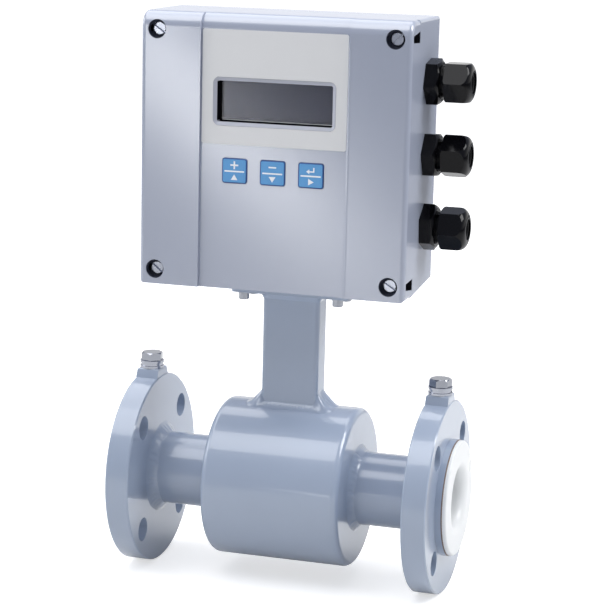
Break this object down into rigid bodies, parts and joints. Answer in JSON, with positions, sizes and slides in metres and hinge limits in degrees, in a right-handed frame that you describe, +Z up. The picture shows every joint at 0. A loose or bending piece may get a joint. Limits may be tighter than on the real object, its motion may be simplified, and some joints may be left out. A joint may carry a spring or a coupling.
{
  "type": "electromagnetic flow meter",
  "caption": "Flanged electromagnetic flow meter with lined bore, round coil housing, rectangular neck and a wall-box transmitter with display, keys and side cable glands.",
  "frame": {"origin": "on the pipe's axis, half way between the two liner faces", "axes": "+X along the flow from inlet to outlet, +Z up along the neck to the transmitter, the display faces -Y"},
  "size_m": [0.2313, 0.127, 0.3735],
  "materials": {
    "painted_steel": "glossy light blue-grey enamel",
    "painted_aluminium": "satin light blue-grey powder coat on die-cast aluminium",
    "liner_white": "waxy white fluoropolymer",
    "copper_winding": "varnished copper wire",
    "core_iron": "dark laminated iron",
    "stainless": "bright stainless steel",
    "bush_plastic": "natural plastic",
    "zinc_steel": "bright zinc-plated steel",
    "gasket_rubber": "black rubber",
    "label_grey": "light grey printed overlay",
    "bezel_grey": "lilac-grey moulded plastic",
    "window_glass": "clear window",
    "lcd_dark": "slate-grey blank display",
    "board_green": "green solder mask",
    "key_blue": "blue key cap",
    "electronics_black": "black moulded parts",
    "terminal_green": "green terminal plastic",
    "standoff_brass": "turned brass",
    "gland_black": "glossy black polyamide"
  },
  "bodies": {
    "meter": {"board_screws": "zinc_steel", "board_standoffs": "standoff_brass", "coil_housing_shell": "painted_steel", "coil_lower": "copper_winding", "coil_upper": "copper_winding", "cover_gasket": "gasket_rubber", "cover_screws": "zinc_steel", "display_bezel": "bezel_grey", "display_board": "board_green", "display_window": "window_glass", "earth_bolts": "zinc_steel", "earth_washers": "zinc_steel", "electrode_bush_front": "bush_plastic", "electrode_bush_rear": "bush_plastic", "electrode_front": "stainless", "electrode_nuts": "stainless", "electrode_rear": "stainless", "flux_return_ring": "core_iron", "front_label": "label_grey", "gland_body_lower": "gland_black", "gland_body_middle": "gland_black", "gland_body_upper": "gland_black", "gland_locknuts": "gland_black", "gland_nut_lower": "gland_black", "gland_nut_middle": "gland_black", "gland_nut_upper": "gland_black", "gland_seals": "gasket_rubber", "housing_base": "painted_aluminium", "housing_cover": "painted_aluminium", "inlet_earth_boss": "painted_steel", "inlet_end_plate": "painted_steel", "inlet_flange": "painted_steel", "inlet_flange_weld": "painted_steel", "inlet_shell_weld": "painted_steel", "key_switches": "electronics_black", "lcd_module": "lcd_dark", "main_board": "board_green", "measuring_tube": "painted_steel", "neck_bolt_washers": "zinc_steel", "neck_bolts": "zinc_steel", "neck_foot_weld": "painted_steel", "neck_gasket": "gasket_rubber", "neck_plate": "painted_steel", "neck_top_weld": "painted_steel", "neck_tube": "painted_steel", "outlet_earth_boss": "painted_steel", "outlet_end_plate": "painted_steel", "outlet_flange": "painted_steel", "outlet_flange_weld": "painted_steel", "outlet_shell_weld": "painted_steel", "pipe_liner": "liner_white", "pole_shoe_lower": "core_iron", "pole_shoe_upper": "core_iron", "terminal_block": "terminal_green", "transformer": "electronics_black"},
    "key_plus": {"key_plus": "key_blue"},
    "key_minus": {"key_minus": "key_blue"},
    "key_enter": {"key_enter": "key_blue"}
  },
  "joints": [
    {"name": "press_plus", "type": "slide", "parent": "meter", "child": "key_plus", "axis": [0, 1, 0], "range_m": [0, 0.0006], "stiffness_N_per_m": 2500, "springref_m": -0.0004},
    {"name": "press_minus", "type": "slide", "parent": "meter", "child": "key_minus", "axis": [0, 1, 0], "range_m": [0, 0.0006], "stiffness_N_per_m": 2500, "springref_m": -0.0004},
    {"name": "press_enter", "type": "slide", "parent": "meter", "child": "key_enter", "axis": [0, 1, 0], "range_m": [0, 0.0006], "stiffness_N_per_m": 2500, "springref_m": -0.0004}
  ]
}
